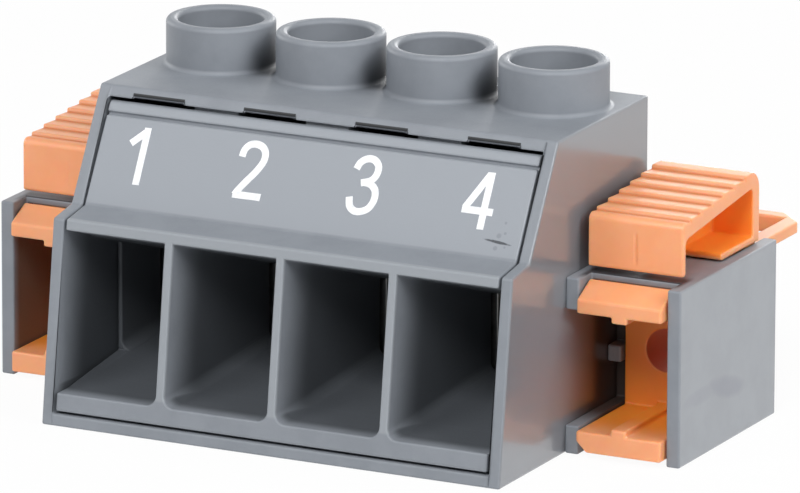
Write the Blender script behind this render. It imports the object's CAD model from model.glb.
import math

import bmesh
import bpy
from mathutils import Matrix, Vector


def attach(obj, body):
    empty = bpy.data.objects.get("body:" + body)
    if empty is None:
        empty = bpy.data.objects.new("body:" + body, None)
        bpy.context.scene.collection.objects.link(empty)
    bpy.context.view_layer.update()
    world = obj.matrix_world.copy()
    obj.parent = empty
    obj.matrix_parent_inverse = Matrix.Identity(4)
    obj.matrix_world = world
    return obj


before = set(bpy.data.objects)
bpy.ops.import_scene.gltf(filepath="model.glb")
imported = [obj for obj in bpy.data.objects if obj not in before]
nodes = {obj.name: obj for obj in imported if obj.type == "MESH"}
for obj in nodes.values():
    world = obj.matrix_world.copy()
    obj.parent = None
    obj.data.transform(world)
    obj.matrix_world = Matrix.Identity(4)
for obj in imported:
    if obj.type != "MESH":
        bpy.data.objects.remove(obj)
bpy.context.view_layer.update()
mm = 0.001
pitch = 10.16 * mm
poleX = [(pole - 1.5) * pitch for pole in range(4)]
latchX = 25.945 * mm  # middle line of either latch, from the middle of the block
white = (1, 1, 1, 1)
print("frame:", len(nodes), "pieces from the solid model")


def fromSrgb(red, green, blue):
    def straight(value):
        value /= 255
        return value / 12.92 if value <= 0.04045 else ((value + 0.055) / 1.055) ** 2.4
    return (straight(red), straight(green), straight(blue), 1)


# Both ends of a soft change, in millimetres
def span(start, end):
    return start * mm, end * mm


# Shader maths: an expression on values adds the Math nodes
class Value:
    def __init__(self, finish, socket):
        self.finish = finish
        self.socket = socket

    def maths(self, operation, first, second):
        return self.finish.add("ShaderNodeMath", {"operation": operation}, {0: first, 1: second})

    def __add__(self, other):
        return self.maths("ADD", self, other)

    def __radd__(self, other):
        return self.maths("ADD", other, self)

    def __sub__(self, other):
        return self.maths("SUBTRACT", self, other)

    def __rsub__(self, other):
        return self.maths("SUBTRACT", other, self)

    def __mul__(self, other):
        return self.maths("MULTIPLY", self, other)

    def __rmul__(self, other):
        return self.maths("MULTIPLY", other, self)

    def __truediv__(self, other):
        return self.maths("DIVIDE", self, other)

    def __rtruediv__(self, other):
        return self.maths("DIVIDE", other, self)

    def __abs__(self):
        return self.maths("ABSOLUTE", self, 0)

    def atLeast(self, other):
        return self.maths("MAXIMUM", self, other)

    # A noise swinging about zero
    def swing(self, amount):
        return (self - 0.5) * amount


# Noises as (detail, roughness)
noiseKinds = {"cloud": (4, 0.6), "grain": (3, 0.6), "rub": (3, 0.7), "lines": (2, 0.5)}


# The nodes of a material or of the world
class Finish:
    def __init__(self, owner):
        self.owner = owner
        owner.use_nodes = True
        self.tree = owner.node_tree
        self.tree.nodes.clear()

    def add(self, kind, settings=None, sockets=None, out=0):
        node = self.tree.nodes.new(kind)
        for key, setting in (settings or {}).items():
            setattr(node, key, setting)
        for key, feed in (sockets or {}).items():
            if isinstance(feed, Value):
                self.tree.links.new(feed.socket, node.inputs[key])
            else:
                node.inputs[key].default_value = feed
        return Value(self, node.outputs[out]) if node.outputs else node

    def place(self):
        return self.add("ShaderNodeTexCoord", out="Object")

    def axes(self, vector):
        return [self.add("ShaderNodeSeparateXYZ", sockets={0: vector}, out=i) for i in range(3)]

    def noise(self, kind, vector, scale):
        detail, roughness = noiseKinds[kind]
        return self.add("ShaderNodeTexNoise", {}, {"Vector": vector, "Scale": scale, "Detail": detail,
                                                   "Roughness": roughness}, out="Fac")

    def mix(self, factor, first, second):
        return self.add("ShaderNodeMix", {"data_type": "RGBA"}, {0: factor, 6: first, 7: second}, out=2)

    # 0 before the first end, 1 after the second, smooth between
    def ease(self, value, ends):
        return self.add("ShaderNodeMapRange", {"interpolation_type": "SMOOTHSTEP"},
                        {"Value": value, "From Min": ends[0], "From Max": ends[1]})

    # 1 before the first end, 0 after the second
    def fade(self, value, ends):
        return 1 - self.ease(value, ends)

    # 1 inside an oval of half size 1, with a ragged rim
    def spot(self, across, up, ragged, rim):
        return self.fade(across * across + up * up + ragged, rim)

    def bump(self, height, depth, strength, below=None):
        sockets = {"Strength": strength, "Distance": depth, "Height": height}
        if below:
            sockets["Normal"] = below
        return self.add("ShaderNodeBump", {}, sockets, out="Normal")

    def surface(self, sockets):
        shader = self.add("ShaderNodeBsdfPrincipled", {}, sockets)
        self.add("ShaderNodeOutputMaterial", {}, {"Surface": shader})
        return self.owner


# Cloudy colour: one shade drifts into the other
cloudEnds = (0.35, 0.7)


def pigment(finish, cloud, look):
    return finish.mix(finish.ease(cloud, cloudEnds), look["shade"], look["cloud"])


# Grey plastic: fine spark-eroded grain and cloudy pigment. The end walls are smooth from a polished mould,
# beyond the polish distance from the middle
greyLook = {
    "shade": fromSrgb(135, 140, 147), "cloud": fromSrgb(129, 134, 141),
    "cloudScale": 260, "grainScale": 5200, "grainDepth": 0.012 * mm, "grainStrength": 0.5,
    "roughness": 0.52, "roughSpread": 0.16, "specular": 0.42,
    "housingPolish": span(20.7, 20.78), "flangePolish": span(30.95, 31.03),
    "polishRoughness": -0.24, "polishCoat": 0.9, "coatRoughness": 0.14,
}


def greyPlastic(name, marks, polish=None):
    finish = Finish(bpy.data.materials.new(name))
    where = finish.place()
    cloud = finish.noise("cloud", where, greyLook["cloudScale"])
    grain = finish.noise("grain", where, greyLook["grainScale"])
    colour = marks(finish, where, pigment(finish, cloud, greyLook))
    spread = grain.swing(greyLook["roughSpread"])
    roughness = greyLook["roughness"] + spread
    coat = 0
    if polish:
        x = finish.axes(where)[0]
        smooth = finish.ease(abs(x), polish)
        roughness = greyLook["roughness"] + spread * (1 - smooth) + smooth * greyLook["polishRoughness"]
        coat = smooth * greyLook["polishCoat"]
        grain = grain * (1 - smooth)
    return finish.surface({
        "Base Color": colour, "Roughness": roughness, "Specular IOR Level": greyLook["specular"],
        "Coat Weight": coat, "Coat Roughness": greyLook["coatRoughness"],
        "Normal": finish.bump(grain, greyLook["grainDepth"], greyLook["grainStrength"])})


# Wire funnels: darker towards the clamps, and sooner on their floors, measured from the leaning front.
# The front edges of the brow and the dividers are a little lighter than the sill
funnelLook = {
    "front": -21.1 * mm, "lean": 2.2 / 16.95, "depth": span(0.3, 5.2), "floorDepth": span(0.3, 2.0),
    "floor": span(3.05, 3.4), "end": span(-3.5, -3.0), "top": span(16.3, 16.9), "side": span(19.9, 20.1),
    "colour": fromSrgb(84, 88, 93),
    "edge": span(0.2, 0.45), "sill": span(3.05, 3.35), "edgeColour": fromSrgb(147, 152, 158),
}


def behindFront(y, z):
    return y - funnelLook["front"] - z * funnelLook["lean"]


def funnelShade(finish, where, colour):
    x, y, z = finish.axes(where)
    behind = behindFront(y, z)
    floors = finish.ease(behind, funnelLook["floorDepth"]) * finish.fade(z, funnelLook["floor"])
    depth = finish.ease(behind, funnelLook["depth"]).atLeast(floors) * finish.fade(y, funnelLook["end"])
    depth = depth * finish.fade(z, funnelLook["top"]) * finish.fade(abs(x), funnelLook["side"])
    return finish.mix(depth, colour, funnelLook["colour"])


# Number face: along is metres up the slope from the brow edge
faceLook = {"y": -15.8 * mm, "z": 17.45 * mm, "slope": math.radians(60), "off": span(0.05, 0.12),
            "low": span(0.15, 0.35), "high": span(9.0, 9.2), "colour": fromSrgb(149, 154, 161),
            "strength": 0.95}
# Scuff under the last number, and specks as (x, along, radius) in millimetres
scuffLook = {
    "x": 17.62 * mm, "along": 1.46 * mm, "halfLong": 1.25 * mm, "halfWide": 0.13 * mm, "lean": -0.1,
    "noiseScale": 1900, "ragged": 1.6, "rim": (0.4, 1.3), "colour": fromSrgb(48, 52, 58), "strength": 0.9,
    "specks": [(17.94, 3.12, 0.14), (17.6, 2.0, 0.24), (18.1, 2.25, 0.14), (17.5, 0.95, 0.2),
               (18.3, 1.1, 0.12)],
    "speckRagged": 1.4, "speckRim": (0.2, 1.3), "speckStrength": 0.26,
}


def slopeAxes(finish, y, z):
    slope = faceLook["slope"]
    along = (y - faceLook["y"]) * math.cos(slope) + (z - faceLook["z"]) * math.sin(slope)
    off = abs((z - faceLook["z"]) * math.cos(slope) - (y - faceLook["y"]) * math.sin(slope))
    return along, finish.fade(off, faceLook["off"])


def coverMarks(finish, where, colour):
    x, y, z = finish.axes(where)
    along, onFace = slopeAxes(finish, y, z)
    field = finish.ease(along, faceLook["low"]) * finish.fade(along, faceLook["high"])
    colour = finish.mix(field * onFace * faceLook["strength"], colour, faceLook["colour"])
    rub = finish.noise("rub", where, scuffLook["noiseScale"])
    across = abs(x - scuffLook["x"]) / scuffLook["halfLong"]
    climb = (x - scuffLook["x"]) * scuffLook["lean"]
    up = abs(along - scuffLook["along"] - climb) / scuffLook["halfWide"]
    mask = finish.spot(across, up, rub.swing(scuffLook["ragged"]), scuffLook["rim"])
    for speckX, speckAlong, radius in scuffLook["specks"]:
        across = abs(x - speckX * mm) / (radius * mm)
        up = abs(along - speckAlong * mm) / (radius * mm)
        speck = finish.spot(across, up, rub.swing(scuffLook["speckRagged"]), scuffLook["speckRim"])
        mask = mask.atLeast(speck * scuffLook["speckStrength"])
    colour = finish.mix(mask * onFace * scuffLook["strength"], colour, scuffLook["colour"])
    front = finish.fade(behindFront(y, z), funnelLook["edge"]) * finish.ease(z, funnelLook["sill"])
    return funnelShade(finish, where, finish.mix(front, colour, funnelLook["edgeColour"]))


# Dark slots between the lip of the top plate and the cover, in front of each chimney
slotLook = {"side": span(2.35, 2.4), "high": span(9.8, 9.86), "colour": fromSrgb(24, 26, 29)}
# End walls: a darker grey, browned inside the flange pocket and beside the grip
wallLook = {
    "from": span(20.72, 20.78), "colour": fromSrgb(124, 128, 134), "deepColour": fromSrgb(66, 54, 50),
    "depth": span(-10.5, -3.0), "top": span(12.0, 13.5),
    "gripDepth": span(-6.4, -3.6), "gripTop": span(18.0, 21.0), "rear": span(4.0, 6.0),
}
# Dark gaps between neighbouring chimneys, fading towards their rims
gapLook = {"near": span(3.3, 4.5), "outer": (1.5 * pitch, 1.5 * pitch + 0.1 * mm), "side": span(1.2, 3.4),
           "low": span(26.2, 26.3), "high": span(26.8, 29.6), "colour": fromSrgb(60, 63, 67)}


def housingMarks(finish, where, colour):
    x, y, z = finish.axes(where)
    along, onFace = slopeAxes(finish, y, z)
    fromPole = abs(abs(abs(x) - pitch) - pitch / 2)
    slot = finish.fade(fromPole, slotLook["side"]) * onFace * finish.fade(along, slotLook["high"])
    wall = finish.ease(abs(x), wallLook["from"])
    inward = finish.ease(y, wallLook["depth"]) * finish.fade(z, wallLook["top"])
    beside = finish.ease(y, wallLook["gripDepth"]) * finish.fade(z, wallLook["gripTop"])
    shadow = inward.atLeast(beside) * finish.fade(y, wallLook["rear"])
    ending = finish.mix(shadow, wallLook["colour"], wallLook["deepColour"])
    gap = finish.ease(fromPole, gapLook["near"]) * finish.fade(abs(x), gapLook["outer"])
    gap = gap * finish.fade(abs(y), gapLook["side"])
    gap = gap * finish.ease(z, gapLook["low"]) * finish.fade(z, gapLook["high"])
    colour = finish.mix(gap, colour, gapLook["colour"])
    colour = finish.mix(wall, funnelShade(finish, where, colour), ending)
    return finish.mix(slot, colour, slotLook["colour"])


# End flanges: the outer and inner walls of the pocket are darker and browned by the orange beside them,
# apart from the tongue on the inner one, and the lid is dark under the grip
pocketLook = {
    "wall": 29.87 * mm, "wallSide": span(0.12, 0.3), "depth": span(-9.1, -8.0), "top": span(13.7, 14.2),
    "end": span(0.6, 1.4), "colour": fromSrgb(105, 83, 69),
    "inner": span(22.4, 22.6), "innerDepth": span(-8.6, -3.6), "deepColour": fromSrgb(60, 50, 46),
    "tongueLow": span(5.65, 5.7), "tongueHigh": span(7.25, 7.3),
    "lid": span(14.7, 14.75), "lidDepth": span(-8.9, -7.3), "lidEnd": span(-6.0, -4.5),
    "lidSide": span(4.1, 4.6), "lidColour": fromSrgb(58, 58, 62),
}


def pocketShade(finish, where, colour):
    x, y, z = finish.axes(where)
    depth = finish.ease(y, pocketLook["depth"])
    below = finish.fade(z, pocketLook["top"]) * finish.fade(y, pocketLook["end"])
    outer = finish.fade(abs(abs(x) - pocketLook["wall"]), pocketLook["wallSide"])
    inner = finish.fade(abs(x), pocketLook["inner"]) * finish.ease(y, pocketLook["innerDepth"])
    tongue = finish.ease(z, pocketLook["tongueLow"]) * finish.fade(z, pocketLook["tongueHigh"])
    colour = finish.mix(depth * outer * below, colour, pocketLook["colour"])
    colour = finish.mix(inner * below * (1 - tongue), colour, pocketLook["deepColour"])
    lid = finish.ease(z, pocketLook["lid"]) * finish.ease(y, pocketLook["lidDepth"])
    lid = lid * finish.fade(y, pocketLook["lidEnd"])
    lid = lid * finish.fade(abs(abs(x) - latchX), pocketLook["lidSide"])
    return finish.mix(lid, colour, pocketLook["lidColour"])


# Smudge on the right end plate: spots as (y, z, half length, half height) in millimetres, lean and strength
smudgeLook = {
    "spots": [(-5.2, 5.15, 3.6, 0.75, 0, 0.3), (-0.2, 4.7, 3.7, 1.0, -0.22, 0.6)],
    "noiseScale": 420, "ragged": 0.9, "rim": (0.1, 1.3), "plate": span(30.0, 30.5),
    "colour": fromSrgb(108, 111, 124),
}


def plateSmudge(finish, where, colour):
    x, y, z = finish.axes(where)
    rub = finish.noise("grain", where, smudgeLook["noiseScale"])
    mask = 0
    for spotY, spotZ, halfLong, halfHigh, lean, strength in smudgeLook["spots"]:
        across = abs(y - spotY * mm) / (halfLong * mm)
        up = abs(z - spotZ * mm - (y - spotY * mm) * lean) / (halfHigh * mm)
        spot = finish.spot(across, up, rub.swing(smudgeLook["ragged"]), smudgeLook["rim"])
        mask = (spot * strength).atLeast(mask)
    onPlate = finish.ease(x, smudgeLook["plate"])
    return pocketShade(finish, where, finish.mix(mask * onPlate, colour, smudgeLook["colour"]))


# Orange latch plastic: a little smoother than the housing and slightly translucent, with darker valleys
# between the grip steps, deeper orange in the hollow and the C-frame, and a sink line down the grip's front
orangeLook = {
    "shade": fromSrgb(242, 168, 118), "cloud": fromSrgb(240, 161, 109),
    "cloudScale": 210, "grainScale": 4300, "grainDepth": 0.01 * mm, "grainStrength": 0.4,
    "roughness": 0.46, "roughSpread": 0.14, "specular": 0.85,
    "glow": 0.6, "glowReach": 0.6 * mm, "glowTint": (1.0, 0.34, 0.1),
    "boreZ": 7.175 * mm, "boreRadius": 1.9 * mm, "boreRim": (0.9, 1.0), "boreRough": 0.4,
    "boreShade": fromSrgb(222, 122, 76),
    "stepY": -5.36 * mm, "stepZ": 19.75 * mm, "stepPitch": 2.0667 * mm, "stepRise": 0.208 * mm,
    "stepSide": span(4.1, 4.2), "firstStep": (-0.45, -0.3), "lastStep": (5, 5.1),
    "valleyTop": span(0.1085, 0.31), "valleyFoot": span(0.36, 0.51),
    "stepShade": fromSrgb(205, 112, 48), "stepStrength": 0.85,
    "hollowTop": span(1.1, 1.3), "hollowFloor": span(15.1, 15.3),
    "hollowFront": span(-6.5, -6.3), "hollowRear": span(6.6, 6.8),
    "frameDepth": span(-9.6, -5.5), "frameWeb": span(-0.6, -0.5),
    "frameLow": span(2.1, 2.2), "frameHigh": span(12.2, 12.3), "innerShade": fromSrgb(251, 150, 50),
    "sinkZ": 17.2 * mm, "sinkSide": span(0, 0.28), "sinkEnd": span(0.9, 1.5),
    "sinkDepth": 0.05 * mm, "sinkStrength": 1.0,
}


def orangePlastic(name):
    look = orangeLook
    finish = Finish(bpy.data.materials.new(name))
    where = finish.place()
    x, y, z = finish.axes(where)
    cloud = finish.noise("cloud", where, look["cloudScale"])
    grain = finish.noise("grain", where, look["grainScale"])
    colour = pigment(finish, cloud, look)
    offLine = abs(abs(x) - latchX)
    offBore = abs(z - look["boreZ"])
    fromBore = (offLine * offLine + offBore * offBore) / look["boreRadius"] ** 2
    inBore = finish.fade(fromBore, look["boreRim"])
    colour = finish.mix(inBore, colour, look["boreShade"])
    roughness = look["roughness"] + grain.swing(look["roughSpread"]) + inBore * look["boreRough"]
    past = (y - look["stepY"]) / look["stepPitch"]  # steps behind the first
    under = look["stepZ"] + (past + 1) * look["stepRise"] - z  # depth below the line of the step tops
    between = finish.fade(offLine, look["stepSide"])
    valley = finish.ease(under, look["valleyTop"]) * finish.fade(under, look["valleyFoot"])
    valley = valley * finish.ease(past, look["firstStep"]) * finish.fade(past, look["lastStep"]) * between
    colour = finish.mix(valley * look["stepStrength"], colour, look["stepShade"])
    hollow = finish.ease(under, look["hollowTop"]) * between * finish.ease(z, look["hollowFloor"])
    hollow = hollow * finish.ease(y, look["hollowFront"]) * finish.fade(y, look["hollowRear"])
    within = finish.ease(y, look["frameDepth"]) * finish.fade(y, look["frameWeb"])
    within = within * finish.ease(z, look["frameLow"]) * finish.fade(z, look["frameHigh"])
    colour = finish.mix(hollow.atLeast(within * (1 - inBore)), colour, look["innerShade"])
    sink = finish.fade(offLine, look["sinkSide"]) * finish.fade(abs(z - look["sinkZ"]), look["sinkEnd"])
    sunk = finish.bump(1 - sink, look["sinkDepth"], look["sinkStrength"])
    return finish.surface({
        "Base Color": colour, "Roughness": roughness, "Specular IOR Level": look["specular"],
        "Subsurface Weight": look["glow"], "Subsurface Scale": look["glowReach"],
        "Subsurface Radius": look["glowTint"],
        "Normal": finish.bump(grain, look["grainDepth"], look["grainStrength"], sunk)})


# Plated metal: faint drawing lines along one axis and cloudy plating
metalLook = {
    "screw": {"shade": fromSrgb(186, 187, 184), "cloud": fromSrgb(158, 160, 160), "roughness": 0.34},
    "clamp": {"shade": fromSrgb(150, 150, 148), "cloud": fromSrgb(122, 123, 124), "roughness": 0.42},
    "bar": {"shade": fromSrgb(196, 190, 176), "cloud": fromSrgb(170, 163, 150), "roughness": 0.36},
}
platingLook = {"lineScale": (9000, 500, 9000), "lineRough": 0.22, "lineDepth": 0.006 * mm,
               "lineStrength": 0.35, "cloudScale": 520, "cloudRough": 0.2}


def platedMetal(name, look):
    finish = Finish(bpy.data.materials.new(name))
    where = finish.place()
    drawn = finish.add("ShaderNodeVectorMath", {"operation": "MULTIPLY"},
                       {0: where, 1: platingLook["lineScale"]})
    lines = finish.noise("lines", drawn, 1)
    cloud = finish.noise("cloud", where, platingLook["cloudScale"])
    roughness = look["roughness"] + lines.swing(platingLook["lineRough"])
    roughness = roughness + cloud.swing(platingLook["cloudRough"])
    return finish.surface({
        "Base Color": pigment(finish, cloud, look), "Roughness": roughness, "Metallic": 1.0,
        "Normal": finish.bump(lines, platingLook["lineDepth"], platingLook["lineStrength"])})


# Printed ink: near white, thinner in places
inkLook = {"shade": fromSrgb(244, 245, 247), "thin": fromSrgb(226, 229, 233), "thinEnds": (0.45, 0.75),
           "bodyScale": 2600, "bodyDepth": 0.01 * mm, "bodyStrength": 0.3, "roughness": 0.58,
           "roughSpread": 0.2}


def printInk(name):
    finish = Finish(bpy.data.materials.new(name))
    body = finish.noise("grain", finish.place(), inkLook["bodyScale"])
    return finish.surface({
        "Base Color": finish.mix(finish.ease(body, inkLook["thinEnds"]), inkLook["shade"], inkLook["thin"]),
        "Roughness": inkLook["roughness"] + body.swing(inkLook["roughSpread"]),
        "Normal": finish.bump(body, inkLook["bodyDepth"], inkLook["bodyStrength"])})


finishes = {
    "housing": greyPlastic("housingGrey", housingMarks, greyLook["housingPolish"]),
    "front_cover": greyPlastic("coverGrey", coverMarks),
    "end_flange_left": greyPlastic("flangeGrey", pocketShade, greyLook["flangePolish"]),
    "end_flange_right": greyPlastic("flangeGreySmudged", plateSmudge, greyLook["flangePolish"]),
    "latch": orangePlastic("latchOrange"),
    "clamp_screw": platedMetal("screwZinc", metalLook["screw"]),
    "clamp_yoke": platedMetal("clampZinc", metalLook["clamp"]),
    "contact_spring": platedMetal("springSteel", metalLook["clamp"]),
    "current_bar": platedMetal("barTin", metalLook["bar"]),
}

# Each solid gets its edges rounded as the mould or press leaves them: widths in millimetres
edgeLook = {
    "housing": 0.17, "front_cover": 0.14, "end_flange": 0.16, "latch": 0.18,
    "clamp_screw": 0.12, "clamp_yoke": 0.1, "current_bar": 0.08, "contact_spring": 0.05,
}
roundLook = {"weld": 0.002 * mm, "flat": math.radians(0.5), "sharp": math.radians(32), "segments": 2,
             "weight": 50}


def pick(table, name):
    return next(value for key, value in table.items() if name.startswith(key))


def roundEdges(solid, width):
    weld = solid.modifiers.new("joinCorners", "WELD")
    weld.merge_threshold = roundLook["weld"]
    flat = solid.modifiers.new("clearFlats", "DECIMATE")
    flat.decimate_type = "DISSOLVE"
    flat.angle_limit = roundLook["flat"]
    split = solid.modifiers.new("plainTriangles", "TRIANGULATE")
    split.ngon_method = "BEAUTY"
    edge = solid.modifiers.new("roundEdges", "BEVEL")
    edge.width = width * mm
    edge.segments = roundLook["segments"]
    edge.limit_method = "ANGLE"
    edge.angle_limit = roundLook["sharp"]
    edge.use_clamp_overlap = False
    edge.loop_slide = False
    even = solid.modifiers.new("evenShade", "WEIGHTED_NORMAL")
    even.keep_sharp = True
    even.weight = roundLook["weight"]


for name, solid in nodes.items():
    for slot in solid.material_slots:
        slot.link = "OBJECT"
        slot.material = pick(finishes, name)
    roundEdges(solid, pick(edgeLook, name))
print("solids: finishes and rounded edges on", len(nodes))

# Printed pole numbers: strokes as (across, up the slope) in millimetres from the pole's middle line.
# A stroke is sunk a hair into the face, and each next one lies a layer higher where they cross
numberLook = {"stroke": 0.62, "lift": 0.03, "sunk": 0.004, "layer": 0.003, "shoulder": 0.94, "smooth": 6}
numberStrokes = [
    [[(-1.52, 5.62), (-0.3, 6.78)], [(-0.29, 7.08), (-0.24, 2.2)]],
    [[(-1.5, 5.72), (-1.4, 6.35), (-1.0, 6.79), (-0.42, 6.9), (0.18, 6.7), (0.52, 6.2), (0.5, 5.5),
      (0.05, 4.62), (-0.6, 3.74), (-1.2, 2.86), (-1.38, 2.5)], [(-1.55, 2.52), (0.98, 2.52)]],
    [[(-1.3, 5.95), (-1.05, 6.55), (-0.5, 6.9), (0.12, 6.86), (0.58, 6.4), (0.6, 5.72), (0.22, 5.14),
      (-0.62, 4.84)], [(-0.35, 4.92), (0.3, 4.8), (0.78, 4.34), (0.88, 3.6), (0.58, 2.86), (0.0, 2.5),
                       (-0.62, 2.46), (-1.14, 2.84), (-1.36, 3.58)]],
    [[(0.42, 6.96), (-1.2, 3.95)], [(-1.42, 3.82), (1.34, 3.82)], [(0.5, 7.1), (0.54, 2.3)]],
]


# Catmull-Rom curve through the points; a stroke of two points stays straight
def smoothPath(points, steps):
    if len(points) < 3:
        return [Vector(p) for p in points]
    ends = [points[0]] + points + [points[-1]]
    path = []
    for i in range(1, len(ends) - 2):
        a, b, c, d = (Vector(p) for p in ends[i - 1:i + 3])
        for k in range(steps):
            t = k / steps
            path.append(0.5 * (2 * b + (c - a) * t + (2 * a - 5 * b + 4 * c - d) * t * t
                               + (3 * b - a - 3 * c + d) * t ** 3))
    return path + [Vector(points[-1])]


def faceSpot(x, along, lift):
    slope = faceLook["slope"]
    return Vector((x, faceLook["y"] + along * math.cos(slope) - lift * math.sin(slope),
                   faceLook["z"] + along * math.sin(slope) + lift * math.cos(slope)))


def inkStroke(shape, points, middle, lift):
    path = smoothPath(points, numberLook["smooth"])
    half = numberLook["stroke"] / 2
    rings = []
    for i, point in enumerate(path):
        ahead = path[min(i + 1, len(path) - 1)] - path[max(i - 1, 0)]
        side = Vector((-ahead.y, ahead.x)).normalized() * half
        inner = side * numberLook["shoulder"]
        corners = [(point + side, 0), (point + inner, lift), (point - inner, lift), (point - side, 0)]
        places = [faceSpot(middle + corner.x * mm, corner.y * mm, (height - numberLook["sunk"]) * mm)
                  for corner, height in corners]
        rings.append([shape.verts.new(place) for place in places])
    for near, far in zip(rings, rings[1:]):
        for k in range(4):
            shape.faces.new((near[k], near[(k + 1) % 4], far[(k + 1) % 4], far[k]))
    shape.faces.new(rings[0])
    shape.faces.new(rings[-1])


def addMesh(name, shape, material):
    mesh = bpy.data.meshes.new(name)
    shape.to_mesh(mesh)
    shape.free()
    mesh.materials.append(material)
    piece = bpy.data.objects.new(name, mesh)
    bpy.context.scene.collection.objects.link(piece)
    return piece


ink = printInk("numberInk")
for number, strokes in enumerate(numberStrokes):
    shape = bmesh.new()
    for layer, points in enumerate(strokes):
        inkStroke(shape, points, poleX[number], numberLook["lift"] + numberLook["layer"] * layer)
    bmesh.ops.recalc_face_normals(shape, faces=shape.faces)
    piece = addMesh("pole_number_%d" % (number + 1), shape, ink)
    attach(piece, "block")
print("numbers: 4 printed on the number face")

# Camera at the photograph's place: a long lens, so the rows stay almost parallel
cameraLook = {"azimuth": 26.636, "elevation": 15.162, "roll": 0.175, "distance": 0.9, "lens": 495.82,
              "sensor": 36, "clip": (0.01, 20), "aim": (0, -6.1 * mm, 13 * mm), "right": 3.897 * mm,
              "up": 0.979 * mm}


# Azimuth in degrees from the front, towards the right
def direction(azimuth, elevation):
    azimuth, elevation = math.radians(azimuth), math.radians(elevation)
    return Vector((math.sin(azimuth) * math.cos(elevation), -math.cos(azimuth) * math.cos(elevation),
                   math.sin(elevation)))


def addCamera(look):
    azimuth, roll = math.radians(look["azimuth"]), math.radians(look["roll"])
    back = direction(look["azimuth"], look["elevation"])
    level = Vector((math.cos(azimuth), math.sin(azimuth), 0))
    upright = back.cross(level)
    right = level * math.cos(roll) + upright * math.sin(roll)
    up = upright * math.cos(roll) - level * math.sin(roll)
    camera = bpy.data.objects.new("camera", bpy.data.cameras.new("camera"))
    bpy.context.scene.collection.objects.link(camera)
    turn = Matrix((right, up, back)).transposed().to_4x4()
    place = Vector(look["aim"]) + back * look["distance"] + right * look["right"] + up * look["up"]
    camera.matrix_world = Matrix.Translation(place) @ turn
    camera.data.sensor_width = look["sensor"]
    camera.data.lens = look["lens"]
    camera.data.clip_start, camera.data.clip_end = look["clip"]
    bpy.context.scene.camera = camera


addCamera(cameraLook)

# Studio: white table, white surround, soft square lamps aimed at the block
studioLook = {
    "ambient": 0.02, "tableShade": (0.9, 0.9, 0.9, 1), "tableGlow": 0.95, "tableSize": 3.0,
    "tableCuts": 4, "tableDrop": 0.02 * mm, "aim": (0, 0, 12 * mm), "reach": 0.9,
    "lamps": [
        {"name": "softFront", "azimuth": -33, "elevation": 38, "size": 0.35, "watts": 1.9},
        {"name": "softCentre", "azimuth": 15, "elevation": 43, "size": 0.35, "watts": 4.6},
        {"name": "softRight", "azimuth": 75, "elevation": 25, "size": 0.35, "watts": 2.55},
        {"name": "softHigh", "azimuth": 100, "elevation": 45, "size": 0.35, "watts": 2.35},
        {"name": "softLeft", "azimuth": -105, "elevation": 13, "size": 0.35, "watts": 2.3},
        {"name": "softBack", "azimuth": 190, "elevation": 13, "size": 0.35, "watts": 3.2},
    ],
}


# 1 where the eye sees the table or the surround, straight or in a reflection
def whiteToEye(finish):
    seen = [finish.add("ShaderNodeLightPath", out=ray)
            for ray in ("Is Camera Ray", "Is Glossy Ray", "Is Transmission Ray")]
    return seen[0].atLeast(seen[1]).atLeast(seen[2])


def addTable(look):
    finish = Finish(bpy.data.materials.new("tableWhite"))
    matte = finish.add("ShaderNodeBsdfDiffuse", {}, {"Color": look["tableShade"]})
    glow = finish.add("ShaderNodeEmission", {}, {"Color": white, "Strength": 1.0})
    share = whiteToEye(finish) * look["tableGlow"]
    seen = finish.add("ShaderNodeMixShader", {}, {0: share, 1: matte, 2: glow})
    finish.add("ShaderNodeOutputMaterial", {}, {"Surface": seen})
    shape = bmesh.new()
    bmesh.ops.create_grid(shape, x_segments=look["tableCuts"], y_segments=look["tableCuts"],
                          size=look["tableSize"] / 2)
    floor = addMesh("table", shape, finish.owner)
    floor.location.z = -look["tableDrop"]


def addLamp(look, lamp):
    data = bpy.data.lights.new(lamp["name"], "AREA")
    data.shape = "SQUARE"
    data.size = lamp["size"]
    data.energy = lamp["watts"]
    light = bpy.data.objects.new(lamp["name"], data)
    towards = direction(lamp["azimuth"], lamp["elevation"])
    light.location = Vector(look["aim"]) + towards * look["reach"]
    light.rotation_mode = "QUATERNION"
    light.rotation_quaternion = (-towards).to_track_quat("-Z", "Y")
    bpy.context.scene.collection.objects.link(light)


def addSurround(look):
    world = bpy.data.worlds.new("studio")
    bpy.context.scene.world = world
    sky = Finish(world)
    strength = look["ambient"] + whiteToEye(sky) * (1 - look["ambient"])
    shade = sky.add("ShaderNodeBackground", {}, {"Color": white, "Strength": strength})
    sky.add("ShaderNodeOutputWorld", {}, {"Surface": shade})


addTable(studioLook)
for lamp in studioLook["lamps"]:
    addLamp(studioLook, lamp)
addSurround(studioLook)
bpy.context.scene.view_settings.view_transform = "Standard"
print("studio: camera,", len(studioLook["lamps"]), "lamps and a white table")
